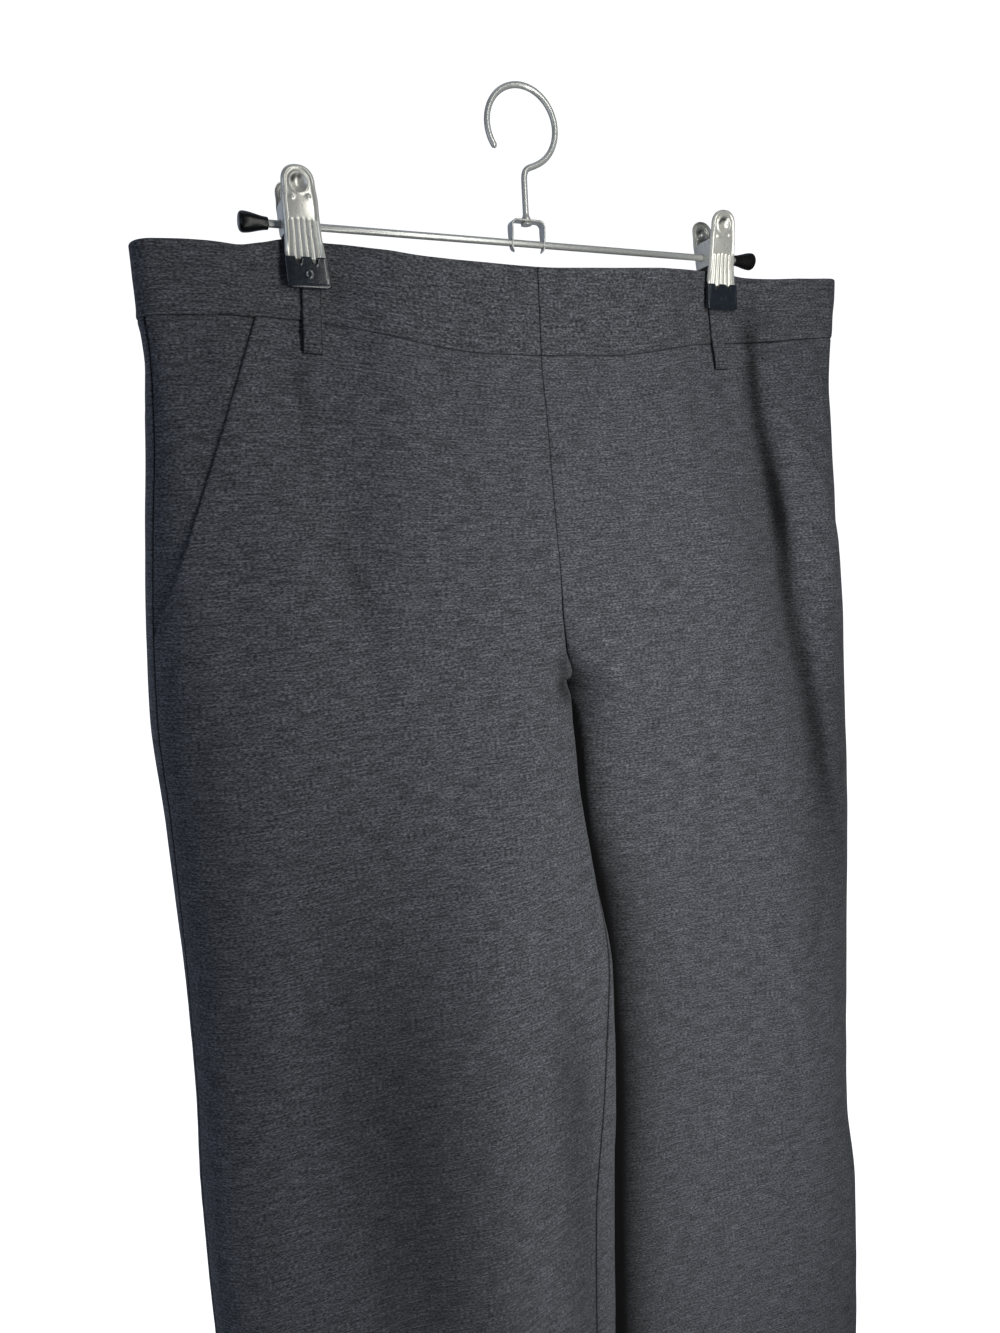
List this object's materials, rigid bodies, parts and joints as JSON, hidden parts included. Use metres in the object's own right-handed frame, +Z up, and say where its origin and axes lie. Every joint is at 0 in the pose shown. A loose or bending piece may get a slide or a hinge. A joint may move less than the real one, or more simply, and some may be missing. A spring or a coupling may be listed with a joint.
{
  "type": "straight-leg ponte pants on a clip hanger",
  "caption": "Pull-on straight-leg knit pants with waistband, belt loops and slant pockets, hung flat by the waist from a wire hanger with two sprung clips.",
  "frame": {"origin": "inside top of the hanger's hook, where it hangs on a rail", "axes": "+Z up, -Y out of the garment's front, +X towards the wearer's left"},
  "size_m": [0.4763, 0.0915, 1.1067],
  "materials": {
    "ponte_panel": "matt charcoal melange ponte knit",
    "ponte_band": "matt charcoal melange ponte knit, doubled",
    "ponte_pocket": "matt charcoal melange ponte knit",
    "ponte_loop": "matt charcoal melange ponte knit, folded",
    "hanger_chrome": "bright chrome",
    "clip_steel": "pressed and chromed sheet",
    "spring_steel": "plain spring wire",
    "cap_plastic": "satin black",
    "tip_vinyl": "dipped black vinyl"
  },
  "bodies": {
    "root": {"front_right": "ponte_panel", "front_left": "ponte_panel", "back_right": "ponte_panel", "back_left": "ponte_panel", "pocket_bearer_right": "ponte_pocket", "pocket_bearer_left": "ponte_pocket", "waistband_right": "ponte_band", "waistband_left": "ponte_band", "belt_loop_front_right": "ponte_loop", "belt_loop_front_left": "ponte_loop", "belt_loop_back_right": "ponte_loop", "belt_loop_back_centre": "ponte_loop", "belt_loop_back_left": "ponte_loop", "hanger_bar": "hanger_chrome", "hanger_hook": "hanger_chrome", "hanger_yoke": "hanger_chrome", "hanger_cap_right": "cap_plastic", "hanger_cap_left": "cap_plastic", "clip_right_jaw_front": "clip_steel", "clip_right_jaw_back": "clip_steel", "clip_left_jaw_front": "clip_steel", "clip_left_jaw_back": "clip_steel", "clip_right_spring": "spring_steel", "clip_left_spring": "spring_steel", "clip_right_tip_front": "tip_vinyl", "clip_right_tip_back": "tip_vinyl", "clip_left_tip_front": "tip_vinyl", "clip_left_tip_back": "tip_vinyl"}
  },
  "joints": []
}
